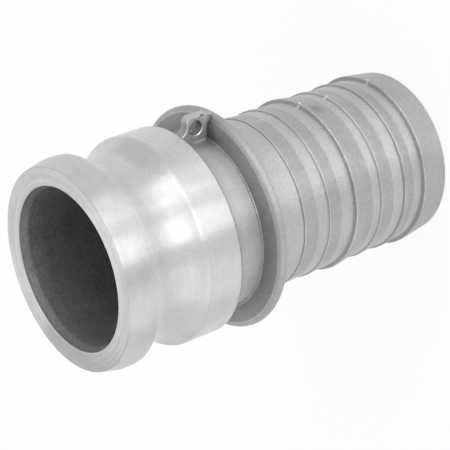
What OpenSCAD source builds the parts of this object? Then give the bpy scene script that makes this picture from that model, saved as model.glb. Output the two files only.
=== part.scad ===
// Male cam and groove adapter with a hose shank, one aluminium casting.
// The head, groove and collar are turned after casting; the rest stays as cast.
// +Z runs along the waterway, from the tail end of the shank up to the nose face.
// The origin is the middle of the tail end, and the lug stands on the +X side.

/* [Head] */
// Diameter of the head and of the collar, which slide into the coupler
head_d = 75.8; // [74:0.1:78]
// Distance from the nose face to the back of the collar
head_length = 46; // [42:0.1:52]
// Diameter of the flat nose face, which the coupler's gasket seals on
face_d = 73; // [68:0.1:73.4]
// Length of the tapered lead-in behind the nose face
lead_in = 6.2; // [3:0.1:7]
// Size of the broken edges left by turning
edge_break = 0.3; // [0.1:0.05:0.4]

/* [Cam groove] */
// Distance from the nose face to the middle of the groove
groove_at = 21.2; // [20.6:0.1:23]
// Depth of the groove below the head's surface
groove_depth = 4.35; // [3.6:0.05:5]
// Radius of the groove's hollow, which the cam arms press into
groove_r = 14.6; // [12:0.1:16]
// Radius of the groove's two rounded shoulders
groove_edge_r = 2.7; // [1:0.1:3]

/* [Neck and flange] */
// Diameter of the neck between collar and flange
neck_d = 64.5; // [62:0.1:66]
// Length of the neck, from the flange to the back of the collar
neck_length = 13.4; // [12:0.1:20]
// Radius where the neck runs into its neighbours
neck_fillet = 0.8; // [0.4:0.1:1.5]
// Diameter of the flange that stops the hose
flange_d = 82.2; // [78:0.1:90]
// Thickness of the flange at its root
flange_root = 5.7; // [4.5:0.1:8]
// Thickness of the flange at its full round rim
flange_rim = 3.5; // [2.5:0.1:4.2]

/* [Lanyard lug] */
// Thickness of the lug
lug_t = 3.5; // [3:0.1:6]
// Height of the lug's top above the neck
lug_height = 9.7; // [9:0.1:12]
// Reach of the lug from the flange's root towards the collar
lug_reach = 8.8; // [8:0.1:10]
// Radius of the lug's outer front corner
lug_corner_r = 2; // [1:0.1:2.5]
// Radius of the hollow at the lug's foot
lug_foot_r = 3.5; // [2:0.1:4]
// Height of the web that ties the lug's foot to the collar
web_height = 3; // [1.5:0.1:3.5]
// Diameter of the hole for a lanyard or a lock wire
lug_hole_d = 5.4; // [4:0.1:5.6]
// Height of the hole's axis above the neck
lug_hole_height = 5.3; // [5:0.1:6]
// Distance of the hole's axis from the flange's root
lug_hole_reach = 4.9; // [4.5:0.1:5.2]

/* [Hose shank] */
// Length from the tail end to the flange
shank_length = 82.9; // [78:0.1:110]
// Diameter of the plain lands between the barbs
root_d = 62.7; // [61:0.1:63.2]
// Distance from the tail end to the step of each barb
barb_at = [12.2, 21.3, 32.7, 45.5, 57.4, 68.9]; // [5:0.1:72]
// Crest diameter of each barb, in the same order
barb_d = [65.7, 64.3, 64, 65.5, 63.9, 63.6]; // [63.3:0.1:68]
// Radius over the crest of a barb, limited by the barb's own height
barb_edge_r = 0.8; // [0.4:0.1:1]
// Distance over which a barb's step leans back, so that it leaves the mould
step_lean = 0.2; // [0.1:0.05:0.4]
// Length over which a crest falls away to the land behind it
ramp = 6; // [3:0.1:7]
// Diameter of the shank at the tail end
tail_d = 62.7; // [61:0.1:64]
// Radius of the rounded outer edge at the tail end
tail_r = 1; // [0.5:0.1:1.5]
// Diameter of the shank where it meets the flange
shoulder_d = 63.8; // [63.2:0.1:66]
// Radius between shank and flange
shoulder_r = 1.8; // [1:0.1:3]

/* [Waterway] */
// Diameter of the bore through the whole adapter
bore_d = 56.8; // [50:0.1:58]
// Diameter of the turned mouth at the nose face
mouth_d = 59.2; // [58.5:0.1:62]
// Depth of the tapered mouth
mouth_depth = 3.3; // [2:0.1:5]
// Outer diameter of the shallow bevel round the mouth
bevel_d = 63.4; // [62.5:0.1:66]
// Depth of that bevel
bevel_depth = 0.4; // [0.2:0.05:0.6]
// Chamfer on the inner edge at the tail end
tail_chamfer = 0.8; // [0.3:0.1:1.2]

/* [Hidden] */
$fn = 180;
overlap = 1; // how far joined solids run into each other

// Heights of the flange's root on its tail side and on its nose side, of its rim's middle,
// of the collar's back and of the nose face
flange_z = shank_length;
neck_z = flange_z + flange_root;
rim_z = flange_z + flange_root / 2;
collar_z = neck_z + neck_length;
nose_z = collar_z + head_length;

last_barb = len(barb_at) - 1;

// Angle at which each face of the flange leans, from the thick root to the thin rim
flange_taper = atan2(flange_root - flange_rim, flange_d - flange_rim - neck_d);

// The groove is one circle, and each shoulder is a smaller circle tangent to it and to the head.
groove_c = [head_d / 2 - groove_depth + groove_r, nose_z - groove_at];
shoulder_x = head_d / 2 - groove_edge_r;
shoulder_dz = sqrt(pow(groove_r + groove_edge_r, 2) - pow(groove_c[0] - shoulder_x, 2));
shoulder_a = atan2(shoulder_dz, groove_c[0] - shoulder_x);

// Points on an arc round c, from one angle to another
function arc(c, r, from, to, steps) =
    [for (i = [0:steps]) c + r * [cos(from + (to - from) * i / steps), sin(from + (to - from) * i / steps)]];

// Where a ramp that ends at height top starts: on the land above the step of barb i.
function ramp_foot(i, top) = [root_d / 2, max(top - ramp, barb_at[i] + 2 * step_lean)];

// The crest and the step of barb i: the hose slides on over the ramp and can't slip back past the step.
function barb(i) =
    let (crest = barb_d[i] / 2, z = barb_at[i], r = min(barb_edge_r, crest - root_d / 2))
    concat(arc([crest - r, z - r], r, 0, 90, 5), [[root_d / 2, z + step_lean]]);

// The shank's outline, from the tail end up to the flange
function shank_outline() = concat(
    arc([tail_d / 2 - tail_r, tail_r], tail_r, -90, 0, 6),
    barb(0),
    [for (i = [1:last_barb]) each concat([ramp_foot(i - 1, barb_at[i] - barb_edge_r)], barb(i))],
    [ramp_foot(last_barb, flange_z - shoulder_r)],
    arc([shoulder_d / 2 + shoulder_r, flange_z - shoulder_r], shoulder_r, 180, 90 + flange_taper, 6));

// The flange's outline, from its tail side round the rim to the neck
function flange_outline() = concat(
    arc([flange_d / 2 - flange_rim / 2, rim_z], flange_rim / 2, flange_taper - 90, 90 - flange_taper, 16),
    arc([neck_d / 2 + neck_fillet, neck_z + neck_fillet], neck_fillet, 270 - flange_taper, 180, 4));

// The head's outline, from the neck over the collar and the groove to the nose face
function head_outline() = concat(
    arc([neck_d / 2 + neck_fillet, collar_z - neck_fillet], neck_fillet, 180, 90, 4),
    [[head_d / 2 - edge_break, collar_z], [head_d / 2, collar_z + edge_break]],
    arc([shoulder_x, groove_c[1] - shoulder_dz], groove_edge_r, 0, shoulder_a, 6),
    arc(groove_c, groove_r, 180 + shoulder_a, 180 - shoulder_a, 24),
    arc([shoulder_x, groove_c[1] + shoulder_dz], groove_edge_r, -shoulder_a, 0, 6),
    [[head_d / 2, nose_z - lead_in], [face_d / 2, nose_z - edge_break],
     [face_d / 2 - edge_break, nose_z]]);

// The turned casting: everything round the waterway's axis
module turned_body() {
    rotate_extrude()
        polygon(concat(
            [[bore_d / 2 + tail_chamfer, 0]],
            shank_outline(), flange_outline(), head_outline(),
            [[bevel_d / 2, nose_z], [mouth_d / 2, nose_z - bevel_depth],
             [bore_d / 2, nose_z - mouth_depth], [bore_d / 2, tail_chamfer]]));
}

// The lug stands on the neck and against the flange, in the plane of the casting's parting line.
module lug() {
    foot = neck_d / 2;
    top = foot + lug_height;
    front = neck_z + lug_reach;
    web = foot + web_height;
    difference() {
        rotate([90, 0, 0])
            linear_extrude(height = lug_t, center = true)
                polygon(concat(
                    [[foot - overlap, rim_z], [foot - overlap, collar_z + overlap],
                     [web, collar_z + overlap]],
                    arc([web + lug_foot_r, front + lug_foot_r], lug_foot_r, 180, 270, 8),
                    arc([top - lug_corner_r, front - lug_corner_r], lug_corner_r, 90, 0, 6),
                    [[top, neck_z], [flange_d / 2 - edge_break, rim_z]]));
        translate([foot + lug_hole_height, 0, neck_z + lug_hole_reach])
            rotate([90, 0, 0]) {
                cylinder(h = lug_t + 2 * overlap, d = lug_hole_d, center = true);
                for (side = [0, 1])
                    mirror([0, 0, side])
                        translate([0, 0, lug_t / 2 - edge_break])
                            cylinder(h = 2 * edge_break, d1 = lug_hole_d, d2 = lug_hole_d + 4 * edge_break);
            }
    }
}

module adapter() {
    color([0.80, 0.80, 0.79])
        union() {
            turned_body();
            lug();
        }
}

adapter();
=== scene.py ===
from math import atan2, cos, degrees, pi, radians, sin, sqrt

import bmesh
import bpy
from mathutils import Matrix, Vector, noise


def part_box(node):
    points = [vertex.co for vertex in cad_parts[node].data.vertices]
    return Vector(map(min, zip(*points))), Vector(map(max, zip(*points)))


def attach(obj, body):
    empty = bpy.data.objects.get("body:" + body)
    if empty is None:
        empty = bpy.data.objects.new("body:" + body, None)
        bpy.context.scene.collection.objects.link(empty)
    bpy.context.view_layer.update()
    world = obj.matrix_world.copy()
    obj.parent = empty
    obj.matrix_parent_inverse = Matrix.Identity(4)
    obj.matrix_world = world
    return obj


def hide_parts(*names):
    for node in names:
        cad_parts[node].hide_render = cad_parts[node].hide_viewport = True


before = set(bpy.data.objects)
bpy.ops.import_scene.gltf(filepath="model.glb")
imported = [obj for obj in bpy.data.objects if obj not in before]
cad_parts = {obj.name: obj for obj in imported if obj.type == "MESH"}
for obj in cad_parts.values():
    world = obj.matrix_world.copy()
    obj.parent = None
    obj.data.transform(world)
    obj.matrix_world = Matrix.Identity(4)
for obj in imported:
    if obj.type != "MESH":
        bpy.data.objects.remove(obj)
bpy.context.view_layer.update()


# The photograph looks into the mouth from the nose side. The adapter stands on its tail here,
# so the camera is rolled until the shank points up and to the right, as in the photograph.
camera = bpy.data.objects.new("camera", bpy.data.cameras.new("camera"))
bpy.context.scene.collection.objects.link(camera)
camera.data.lens = 148.0
camera.data.sensor_width = 36.0
camera.data.clip_start = 0.05
camera.location = (0.303086, -0.460585, 0.445397)
camera.rotation_euler = [radians(a) for a in (-27.8889, 51.4455, -90.2828)]
bpy.context.scene.camera = camera


# Hose shank, flange and neck: aluminium as it comes out of the mould, with six barbs that grip
# the hose. Outlines are in millimetres, as (radius, height above the tail end).
def arc(cx, cz, r, start, end, steps):
    """Points on an arc round (cx, cz), from one angle to another, in degrees."""
    angles = [radians(start + (end - start) * i / steps) for i in range(steps + 1)]
    return [(cx + r * cos(a), cz + r * sin(a)) for a in angles]


# The frame's box gives the lug's top, the flange's radius and the height of the nose face.
lug_top, flange_r, nose = (round(corner * 1000, 2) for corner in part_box("adapter")[1])
collar_back = nose - 46.0
neck_start = collar_back - 13.4
flange_back = neck_start - 5.7
land, shank_end_r, neck_r = 62.7 / 2, 63.8 / 2, 64.5 / 2
tail_r, crest_r, shoulder_r = 1.0, 0.4, 1.8
rim_r, taper, neck_fillet, lug_half = 1.75, 8.8, 0.8, 3.5 / 2
barbs = [(12.2, 65.7), (21.3, 64.3), (32.7, 64.0), (45.5, 65.5), (57.4, 63.9), (68.9, 63.6)]
ramps = [16.5, 26.5, 36.5, 51.5, 62.5]
nubs = ((57.2, 0.25), (45.3, 0.6), (32.5, 0.45), (12.0, 0.35))

crests = []
shank = arc(land - tail_r, tail_r, tail_r, -90, 0, 6)
for number, (step, crest_d) in enumerate(barbs):
    middle_r, middle_z = crest_d / 2 - crest_r, step - crest_r
    if number:
        shank.append((land, ramps[number - 1]))
    shank += arc(middle_r, middle_z, crest_r, 0, 90, 6) + [(land, step + 0.2)]
    crests += arc(middle_r, middle_z, crest_r, 30, 45, 1)
shank.append((land, flange_back - 7.8))
shank += arc(shank_end_r + shoulder_r, flange_back - shoulder_r, shoulder_r, 180, 90 + taper, 8)
rim_z = (flange_back + neck_start) / 2
flange = arc(flange_r - rim_r, rim_z, rim_r, taper - 90, 90 - taper, 14)
fillet = (neck_r + neck_fillet, neck_start + neck_fillet, neck_fillet)
corner = arc(*fillet, 270 - taper, 240, 2)
flash_ring = [(neck_r + out, neck_start + up)
              for out, up in ((0.35, 0.26), (0.49, 0.42), (0.31, 0.56))]
neck = arc(*fillet, 206, 180, 2)
neck += arc(neck_r + neck_fillet, collar_back - neck_fillet, neck_fillet, 180, 90, 6)


class Value:
    """One output of a shader node, which takes part in Python's sums."""

    def __init__(self, finish, socket):
        self.finish, self.socket = finish, socket

    def math(self, operation, *terms):
        terms = {"i%d" % number: term for number, term in enumerate(terms)}
        return self.finish.node("Math", {"operation": operation}, **terms)

    def other(self, output):
        """Another output of the same node."""
        return Value(self.finish, self.socket.node.outputs[output])

    def __add__(self, other):
        return self.math("ADD", self, other)

    def __radd__(self, other):
        return self.math("ADD", other, self)

    def __sub__(self, other):
        return self.math("SUBTRACT", self, other)

    def __rsub__(self, other):
        return self.math("SUBTRACT", other, self)

    def __mul__(self, other):
        return self.math("MULTIPLY", self, other)

    def __rmul__(self, other):
        return self.math("MULTIPLY", other, self)

    def __truediv__(self, other):
        return self.math("DIVIDE", self, other)

    def __rtruediv__(self, other):
        return self.math("DIVIDE", other, self)

    def __lt__(self, other):
        return self.math("LESS_THAN", self, other)

    def __gt__(self, other):
        return self.math("GREATER_THAN", self, other)

    def __abs__(self):
        return self.math("ABSOLUTE", self)


class Finish:
    """A material, or the world, and its nodes. node() takes settings first, then the sockets."""

    def __init__(self, name, kind=bpy.data.materials):
        self.data = kind.new(name)
        self.data.use_nodes = True
        self.tree = self.data.node_tree
        self.tree.nodes.clear()

    def node(self, kind, settings=None, output=0, **sockets):
        made = self.tree.nodes.new("ShaderNode" + kind)
        for key, value in (settings or {}).items():
            setattr(made, key, value)
        for key, value in sockets.items():
            numbered = key[0] == "i" and key[1:].isdigit()
            slot = made.inputs[int(key[1:]) if numbered else key.replace("_", " ")]
            if isinstance(value, Value):
                self.tree.links.new(value.socket, slot)
            else:
                slot.default_value = value
        return Value(self, made.outputs[output]) if made.outputs else made

    def grain(self, where, scale, detail):
        """Noise round 0, at so many grains a metre."""
        return self.node("TexNoise", {"noise_dimensions": "3D"}, Vector=where, Scale=scale,
                         Detail=detail) - 0.5

    def streaks(self, east, north, along, across, gap, detail):
        """Noise round 0 in rings round the axis: across is their break-up, gap their spacing."""
        where = self.node("CombineXYZ", X=east * across, Y=north * across, Z=along * gap)
        return self.grain(where, 1.0, detail)

    def surface(self, tone, blue=1.0, **sockets):
        colour = self.node("CombineColor", Red=tone, Green=tone, Blue=tone * blue)
        shader = self.node("BsdfPrincipled", Base_Color=colour, **sockets)
        self.node("OutputMaterial", Surface=shader)


def polar(finish):
    """The shaded point, its radius and height in millimetres, and its direction from the axis."""
    place = finish.node("TexCoord", output="Object")
    x = finish.node("SeparateXYZ", Vector=place)
    y, z = x.other("Y"), x.other("Z")
    radius = x.math("SQRT", x * x + y * y)
    return place, radius * 1000, z * 1000, x / radius, y / radius


def between(value, low, high, soft=0.15):
    """1 where a value lies between two others, and 0 outside them."""
    rise = value.finish.node("MapRange", Value=value, From_Min=low - soft, From_Max=low + soft)
    fall = value.finish.node("MapRange", Value=value, From_Min=high - soft,
                             From_Max=high + soft, To_Min=1, To_Max=0)
    return rise * fall


cast = Finish("cast_aluminium")
place, radius, height, east, north = polar(cast)
side = abs(radius * north)
grain, pits = cast.grain(place, 1500, 2), cast.grain(place, 420, 3)
cloud, dots = cast.grain(place, 90, 3), cast.grain(place, 700, 1)

sloping = between(height, -2, barbs[0][0])
for foot, (step, crest_d) in zip(ramps, barbs[1:]):
    sloping = sloping + between(height, foot, step)

# Painted shade behind the steps and in the corner under the collar; one stain near the flash.
painted_step_shade = 0
for (step, crest_d), step_shade in zip(barbs, (0.2, 0.45, 0.45, 0.15, 0.45, 0.8)):
    painted_step_shade = painted_step_shade + between(height, step - 0.1, step + 0.5) * step_shade
painted_step_shade = painted_step_shade * (0.9 + 1.6 * cloud) * (radius < 32.9)
painted_collar_shade = between(height, collar_back - 0.65, collar_back + 0.4, 0.25)
apart = cast.node("VectorMath", {"operation": "DISTANCE"}, "Value", i0=place,
                  i1=(0.0310, -0.0053, 0.0422)) * 1000
fading = 1 - apart / (4.0 + cloud * 5)
stained = fading.math("MAXIMUM", fading, 0)

# Painted shade on the flange's front; its rim is duller; the parting flash is bright where worn.
painted_flange_shade = between(height, neck_start - 1.7, neck_start + 0.6) * between(radius, 32.9, 38.9, 0.25)
rim = (between(radius, flange_r - 1.7, 45, 0.3)
       * between(height, flange_back - 0.9, neck_start + 0.4))
seam = (between(side, lug_half - 0.05, lug_half + 0.17, 0.08)
        * between(height, neck_start + 0.5, neck_start + 5.9, 0.5)
        * (east > 0) * (radius < neck_r + 0.45))
flash = (between(side, -1, 0.28, 0.12) * between(dots, 0.02, 1.5, 0.06)
         * (between(height, 57, flange_back - 1.4) + 0.35 * between(height, 12, 57)))
# Painted highlight on the nubs of the lug's parting line.
painted_nub_highlight = 0
for nub, size in nubs[1:]:
    painted_nub_highlight = painted_nub_highlight + between(height, nub - 0.8, nub + 0.8, 0.3)
painted_nub_highlight = painted_nub_highlight * between(side, -1, 0.6, 0.2) * (east > 0)

# Painted shade: darker in hollows and corners, by ambient occlusion.
painted_hollow_shade = cast.node("AmbientOcclusion", {"samples": 8, "only_local": True}, "AO", Distance=0.007)
# Painted shade: the barbs' ramps are darker than their lands.
tone = 0.56 - sloping * 0.11 + grain * 0.22 + pits * 0.08 + cloud * 0.14
tone = tone * (0.45 + 0.55 * painted_hollow_shade)
for stain_and_shade, share in ((painted_flange_shade, 0.40), (painted_step_shade, 0.38), (stained, 0.4), (painted_collar_shade, 0.45),
                    (rim, 0.17)):
    tone = tone * (1 - share * stain_and_shade)
for bright, more in ((seam, 0.3), (flash, 0.2), (painted_nub_highlight, 0.2)):
    tone = tone + bright * more
cast.surface(tone, 0.995, Metallic=1.0, Roughness=0.55 - sloping * 0.10 + pits * 0.2,
             Anisotropic=0.8, Anisotropic_Rotation=0.25,
             Normal=cast.node("Bump", Strength=1.0, Distance=0.00012, Height=grain * 0.5 + pits))


# Collar, cam groove and head: the same casting, turned bright on a lathe. The groove is one arc
# between two rounded shoulders, and the head ends in a lead-in and a flat face for the gasket.
head_r, face_r, bevel_r, mouth_r = 75.8 / 2, 73.0 / 2, 63.4 / 2, 59.2 / 2
groove_edge_r, groove_r, groove_depth = 2.7, 14.6, 4.35
groove_x, groove_z = head_r - groove_depth + groove_r, nose - 21.2
edge_x = head_r - groove_edge_r
rise = sqrt((groove_r + groove_edge_r) ** 2 - (groove_x - edge_x) ** 2)
lean = degrees(atan2(rise, groove_x - edge_x))
head = [(head_r - 0.3, collar_back), (head_r - 0.07, collar_back + 0.07),
        (head_r, collar_back + 0.3)]
head += arc(edge_x, groove_z - rise, groove_edge_r, 0, lean, 9)
head += arc(groove_x, groove_z, groove_r, 180 + lean, 180 - lean, 30)
head += arc(edge_x, groove_z + rise, groove_edge_r, -lean, 0, 9)
head += [(head_r, nose - 6.5), (head_r - 0.05, nose - 6.0), (face_r, nose - 0.3),
         (face_r - 0.08, nose - 0.08), (face_r - 0.3, nose)]
face = [head[-1], (bevel_r, nose), (mouth_r + 0.15, nose - 0.37), (mouth_r, nose - 0.45)]

turned = Finish("turned_aluminium")
place, radius, height, east, north = polar(turned)
track = height - radius
rings = turned.streaks(east, north, track, 2.2, 2.0, 3)
brush = turned.streaks(east, north, track, 14, 3.4, 3)
wide = turned.streaks(east, north, track, 1.5, 0.5, 2)
grain, stain = turned.grain(place, 1200, 2), turned.grain(place, 75, 4)
upper = turned.node("MapRange", Value=height, From_Min=nose - 20, From_Max=nose - 14)

# Painted shade on the side away from the lug, the collar's back edge and the nose face's rim;
# a painted dark reflection in the groove; and the scuffs of handling on the nose face.
on_face = between(height, nose - 0.3, nose + 1)
painted_side_shade = turned.node("MapRange", Value=east, From_Min=-0.3, From_Max=-0.95)
slope = between(height, groove_z - 12.8, groove_z + 3.2, 1.5)
painted_dark_reflection = (between(height, groove_z - 11.8, groove_z - 4.3, 1.2)
        * between(north, -0.28, 0.28, 0.1) * (east > 0) * (1.0 + 1.2 * stain))
painted_edge_shade = between(height, collar_back - 0.1, collar_back + 0.5, 0.1)
scuff = between(turned.streaks(east, north, radius, 1.6, 1.9, 2), 0.06, 1.5, 0.05) * on_face
tone = 0.655 + rings * 0.09 + brush * 0.08 + grain * 0.14 + wide * 0.06 + stain * 0.20
for stain_and_shade, share in ((painted_side_shade * on_face, 0.22), (painted_side_shade * slope, 0.17), (painted_dark_reflection, 0.16),
                    (painted_edge_shade, 0.5), (scuff, 0.10)):
    tone = tone * (1 - share * stain_and_shade)
# Painted highlight at the bevel's edge on the nose face and painted shade at the face's rim.
painted_bevel_highlight = between(radius, bevel_r - 0.5, bevel_r + 0.5, 0.3)
painted_rim_shade = between(radius, face_r - 0.5, face_r + 0.5, 0.12)
tone = tone * (1 + on_face * (0.05 + 0.07 * painted_bevel_highlight - 0.10 * painted_rim_shade))
turned.surface(tone, Metallic=1.0, Roughness=0.37 + wide * 0.12 + upper * 0.06,
               Anisotropic=1.0, Anisotropic_Rotation=0.25,
               Normal=turned.node("Bump", Strength=1.0, Distance=0.000025,
                                  Height=rings * 0.4 + brush))


# Mouth and waterway: a short turned taper at the nose, then the raw dark bore down to the tail.
# The bore is formed by a sand core, so its skin stays rough.
bore_r, tail_chamfer = 56.8 / 2, 0.8
mouth = [face[-1], (bore_r + 0.1, nose - 3.1), (bore_r, nose - 3.5), (bore_r, nose - 6)]
bore = [mouth[-1], (bore_r, tail_chamfer), (bore_r + tail_chamfer, 0.0), (land - tail_r, 0.0)]

raw = Finish("raw_waterway")
place, radius, height, east, north = polar(raw)
grain, cloud = raw.grain(place, 900, 3), raw.grain(place, 120, 3)
rings = raw.streaks(east, north, height, 0.8, 0.22, 2)
tone = (0.195 + grain * 0.18 + cloud * 0.10 + rings * 0.10) * (
    1 - 0.12 * between(height, nose - 2.8, nose + 1, 0.3))
# Painted highlight: a light band on the mouth's taper, near the bore.
tone = tone + between(height, nose - 2.5, nose - 1.6, 0.8) * 0.06
raw.surface(tone, Metallic=0.6, Roughness=0.65,
            Normal=raw.node("Bump", Strength=1.0, Distance=0.0002, Height=grain))


# Worn edges: the crests of the barbs, the thin flash ring at the neck and the edges of the lug.
# Hoses and hands have rubbed them bright.
worn = Finish("worn_edge")
place, radius, height, east, north = polar(worn)
tone = (0.57 + worn.grain(place, 1100, 2) * 0.35 + worn.grain(place, 110, 2) * 0.6) * (
    1 - 0.15 * between(height, 5, 24))
at_neck = between(height, neck_start - 0.6, neck_start + 1.4) * (radius < neck_r + 0.75)
tone = tone * (1 - 0.42 * at_neck)
worn.surface(tone, 0.995, Metallic=1.0, Roughness=0.40)


# The casting as a whole: the outlines above, spun round the waterway's axis. The mould leaves
# flash along two parting lines, small nubs on the lug's one, a wavy skin and a thicker flange
# beside the lug.
CAST, TURNED, BORE, EDGE = 0, 1, 2, 3
materials = [finish.data for finish in (cast, turned, raw, worn)]
MM = 0.001


def spaced(points, gap):
    """The same line with points added wherever two of them lie further apart than gap."""
    out = [points[0]]
    for (x0, z0), (x1, z1) in zip(points, points[1:]):
        steps = max(1, round(sqrt((x1 - x0) ** 2 + (z1 - z0) ** 2) / gap))
        out += [(x0 + (x1 - x0) * i / steps, z0 + (z1 - z0) * i / steps)
                for i in range(1, steps + 1)]
    return out


def solid(name, points, faces):
    """A closed mesh object from points in millimetres, with its faces turned outwards."""
    made = bpy.data.objects.new(name, bpy.data.meshes.new(name))
    bpy.context.scene.collection.objects.link(made)
    made.data.from_pydata([[c * MM for c in point] for point in points], [], faces)
    for material in materials:
        made.data.materials.append(material)
    work = bmesh.new()
    work.from_mesh(made.data)
    bmesh.ops.recalc_face_normals(work, faces=work.faces)
    work.to_mesh(made.data)
    work.free()
    return made


outline, finishes = [shank[0]], []
for points, gap, finish in ((shank, 1.7, CAST), (flange, 1.1, CAST), (corner, 0.9, CAST),
                            (flash_ring, 1.2, EDGE), (neck, 2.0, CAST), (head, 1.3, TURNED),
                            (face, 1.6, TURNED), (mouth, 1.2, BORE), (bore, 12.0, BORE)):
    line = spaced(points if points[0] == outline[-1] else [outline[-1]] + points, gap)[1:]
    outline += line
    finishes += [finish] * len(line)
outline.pop()
for row, (r, z) in enumerate(outline):
    if any(abs(r - crest_x) + abs(z - crest_z) < 0.02 for crest_x, crest_z in crests):
        finishes[row] = EDGE

nub_wide, nub_tall, flash_wide = 0.8, 1.5, 0.42


def skin(r, z, turn):
    """How far the cast skin lies outside and above its outline at a point."""
    x, y = cos(radians(turn)), sin(radians(turn))
    slow = noise.noise(Vector((x * 3, y * 3, z * 0.06)))
    quick = noise.noise(Vector((x * 16, y * 16, z * 0.25)))
    out, up = -0.05 + 0.05 * slow + 0.03 * quick, 0.0
    parting = abs((turn + 90) % 180 - 90) * pi / 180 * r
    for nub, size in nubs:
        if parting < nub_wide and abs(z - nub) < nub_tall and abs(turn - 180) > 90:
            out += size * (1 - parting / nub_wide) * (1 - abs(z - nub) / nub_tall)
    if z < flange_back - 1.9:
        up = 0.10 * slow + 0.08 * quick
        if parting < flash_wide:
            patchy = noise.noise(Vector((z * 1.3, x * 4, 7)))
            out += (0.06 + 0.22 * max(0.0, patchy)) * (1 - parting / flash_wide)
    if r > flange_r - 2.1:
        out -= 0.10 * abs(noise.noise(Vector((x * 22, y * 22, 3))))
    if r > neck_r + 0.75 and neck_start - 1.3 < z < neck_start + 0.1:
        from_lug = abs((turn + 180) % 360 - 180)
        beside = max(0.0, min(1.0, (16 - from_lug) / 7))
        inwards = max(0.0, min(1.0, (flange_r - 1.9 - r) / 2))
        up += (neck_start - 0.05 - z) * beside * inwards
    return out, up


beside_flash = [(line + sign * w) % 360 for line in (0, 180) for sign in (-1, 1)
                for w in (0.18, 0.4, 0.65)]
turns = sorted([float(i) for i in range(360)] + beside_flash)
rows, cols = len(outline), len(turns)
first_turned = finishes.index(TURNED)
verts, faces, finish_of = [], [], []
for row, (r, z) in enumerate(outline):
    as_cast = row < first_turned and z > 0.5
    for turn in turns:
        out, up = skin(r, z, turn) if as_cast else (0.0, 0.0)
        verts.append(((r + out) * cos(radians(turn)), (r + out) * sin(radians(turn)), z + up))
for i in range(rows):
    for j in range(cols):
        k, m = (i + 1) % rows, (j + 1) % cols
        faces.append((i * cols + j, i * cols + m, k * cols + m, k * cols + j))
        finish_of.append(finishes[i])

casting = solid("casting", verts, faces)
casting.data.polygons.foreach_set("material_index", finish_of)


# The lug: a small cast ear on the neck and against the flange, in the plane of the parting line.
# It is drilled for a lanyard or a lock wire, and united here with the casting.
reach, web, hollow_r, corner_r = neck_start + 8.8, neck_r + 3, 3.5, 2
hole_at, hole_r, hole_edge = (neck_r + 5.3, neck_start + 4.9), 2.7, 0.3

ear = [(neck_r - 1, rim_z), (neck_r - 1, collar_back + 0.6), (web, collar_back + 0.6)]
ear += arc(web + hollow_r, reach + hollow_r, hollow_r, 180, 270, 10)
ear += arc(lug_top - corner_r, reach - corner_r, corner_r, 90, 0, 8)
ear += [(lug_top, neck_start), (flange_r - 0.3, rim_z)]
count = len(ear)
lug = solid("lug", [(x, face_side * lug_half, z) for face_side in (-1, 1) for x, z in ear],
            [tuple(range(count)), tuple(range(count, 2 * count))]
            + [(i, i + count, (i + 1) % count + count, (i + 1) % count) for i in range(count)])
soft = lug.modifiers.new("soft", "BEVEL")
soft.width, soft.segments, soft.limit_method = 0.3 * MM, 2, "ANGLE"
soft.angle_limit, soft.material = radians(35), EDGE


def drill(centre, r, edge, length, n=48):
    """A round bar along Y that takes out a hole with both its edges broken."""
    ends = ((r + 2 * edge, length), (r + edge, lug_half + 0.001), (r, lug_half - edge))
    profile = [(q, -y) for q, y in ends] + list(reversed(ends))
    points = [(centre[0] + q * cos(2 * pi * i / n), y, centre[1] + q * sin(2 * pi * i / n))
              for q, y in profile for i in range(n)]
    quads = [(k * n + i, k * n + (i + 1) % n, (k + 1) * n + (i + 1) % n, (k + 1) * n + i)
             for k in range(len(profile) - 1) for i in range(n)]
    caps = [tuple(range(n)), tuple(range((len(profile) - 1) * n, len(profile) * n))]
    made = solid("drill", points, quads + caps)
    # The hole's wall takes the dark waterway finish, painted shade inside the hole.
    index = [EDGE if row in (1, 3) else BORE for row in range(len(profile) - 1) for i in range(n)]
    made.data.polygons.foreach_set("material_index", index + [BORE] * 2)
    return made


def pit(centre, r):
    """A ball, which leaves a cold shut where the metal didn't fill the mould."""
    work = bmesh.new()
    bmesh.ops.create_icosphere(work, subdivisions=3, radius=r)
    points = [tuple(c + o for c, o in zip(v.co, centre)) for v in work.verts]
    ball = [tuple(v.index for v in face.verts) for face in work.faces]
    work.free()
    made = solid("pit", points, ball)
    made.data.polygons.foreach_set("material_index", [BORE] * len(ball))
    return made


def combine(piece, other, operation):
    """One solid from two, by Blender's Boolean modifier, and the other piece is gone."""
    cut = piece.modifiers.new("cut", "BOOLEAN")
    cut.operation, cut.solver, cut.object = operation, "EXACT", other
    bpy.context.view_layer.update()
    mesh = bpy.data.meshes.new_from_object(
        piece.evaluated_get(bpy.context.evaluated_depsgraph_get()))
    piece.modifiers.clear()
    piece.data = mesh
    bpy.data.objects.remove(other)


combine(lug, drill(hole_at, hole_r, hole_edge, 6), "DIFFERENCE")
combine(lug, pit((lug_top - 0.05, -2.2, neck_start + 2.3), 1.0), "DIFFERENCE")
combine(casting, lug, "UNION")
casting.name = casting.data.name = "casting"
casting.data.shade_smooth()
casting.data.set_sharp_from_angle(angle=radians(28))

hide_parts("adapter")
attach(casting, "root")


# The floor: white paper under the tail, which also fills the view behind the adapter. It and
# the world look plain white to the camera and in metal, and the paper keeps some shadow.
def background_seen(finish):
    """1 for rays from the camera, off metal or through glass, which see the background white."""
    ray = finish.node("LightPath", output="Is Camera Ray")
    for kind in ("Is Glossy Ray", "Is Transmission Ray"):
        ray = ray.math("MAXIMUM", ray, finish.node("LightPath", output=kind))
    return ray


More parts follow.
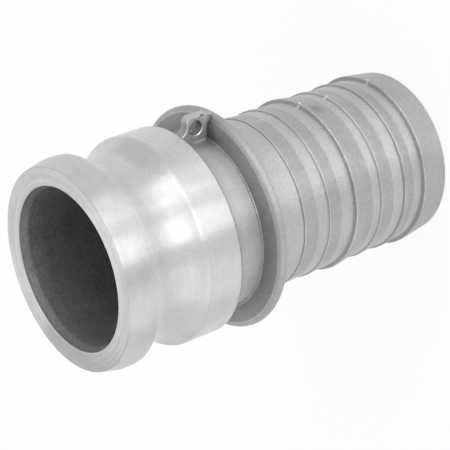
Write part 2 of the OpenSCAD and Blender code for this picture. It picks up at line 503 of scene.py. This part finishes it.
floor = bpy.data.objects.new("floor", bpy.data.meshes.new("floor"))
bpy.context.scene.collection.objects.link(floor)
floor.data.from_pydata([(x * 3, y * 3, -0.0006) for x, y in ((-1, -1), (1, -1), (1, 1), (-1, 1))],
                       [], [(0, 1, 2, 3)])
paper = Finish("white_paper")
fibre = paper.grain(paper.node("TexCoord", output="Object"), 60, 2)
tone = 0.93 + fibre * 0.02
colour = paper.node("CombineColor", Red=tone, Green=tone, Blue=tone)
matt = paper.node("BsdfPrincipled", Base_Color=colour, Roughness=0.9)
white = paper.node("Emission", Color=(1, 1, 1, 1), Strength=1.0)
paper.node("OutputMaterial", Surface=paper.node("MixShader", i0=background_seen(paper) * 0.9,
                                                i1=matt, i2=white))
floor.data.materials.append(paper.data)

studio = Finish("studio", bpy.data.worlds)
dim, white = (studio.node("Background", Color=(1, 1, 1, 1), Strength=s) for s in (0.8, 1.0))
studio.node("OutputWorld", Surface=studio.node("MixShader", i0=background_seen(studio),
                                               i1=dim, i2=white))
bpy.context.scene.world = studio.data


# The lamps: soft flat panels in a wide circle round the adapter, each with its azimuth and
# width, its lowest and highest elevation, all in degrees, and its brightness.
lamp_away, lamp_aim = 2.4, Vector((0, 0, 0.09))
for name, azimuth, wide, low, high, bright in (
        ("front_low", 302, 28, -2, 13, 5.3),
        ("front_gap", 323, 14, -2, 13, 2.2),
        ("front_strip", 334.5, 9, -2, 13, 3.9),
        ("right_low", 350, 22, -2, 13, 0.3),
        ("left_low", 243, 46, -2, 13, 0.85),
        ("left_mid", 238, 56, 13, 30, 0.5),
        ("right_mid", 352.5, 22, 13, 46, 1.7),
        ("right_high", 345, 30, 46, 70, 1.0),
        ("side_low", 187.5, 12, 8, 30, 0.3),
        ("top", 0, 20, 80, 100, 0.7)):
    lamp = bpy.data.objects.new(name, bpy.data.lights.new(name, "AREA"))
    bpy.context.scene.collection.objects.link(lamp)
    turn, lift = radians(azimuth), radians((low + high) / 2)
    away = Vector((cos(lift) * cos(turn), cos(lift) * sin(turn), sin(lift)))
    overhead = lift > 1.5
    lamp.data.shape = "RECTANGLE"
    lamp.data.size = 2 * lamp_away * sin(radians(wide / 2)) * (1 if overhead else cos(lift))
    lamp.data.size_y = 2 * lamp_away * sin(radians((high - low) / 2))
    lamp.data.energy = bright * pi * lamp.data.size * lamp.data.size_y
    lamp.location = away * lamp_away + lamp_aim
    lamp.rotation_euler = away.to_track_quat("Z", "Y").to_euler()
    lamp.visible_camera = False

bpy.context.scene.view_settings.view_transform = "Standard"
bpy.context.view_layer.update()
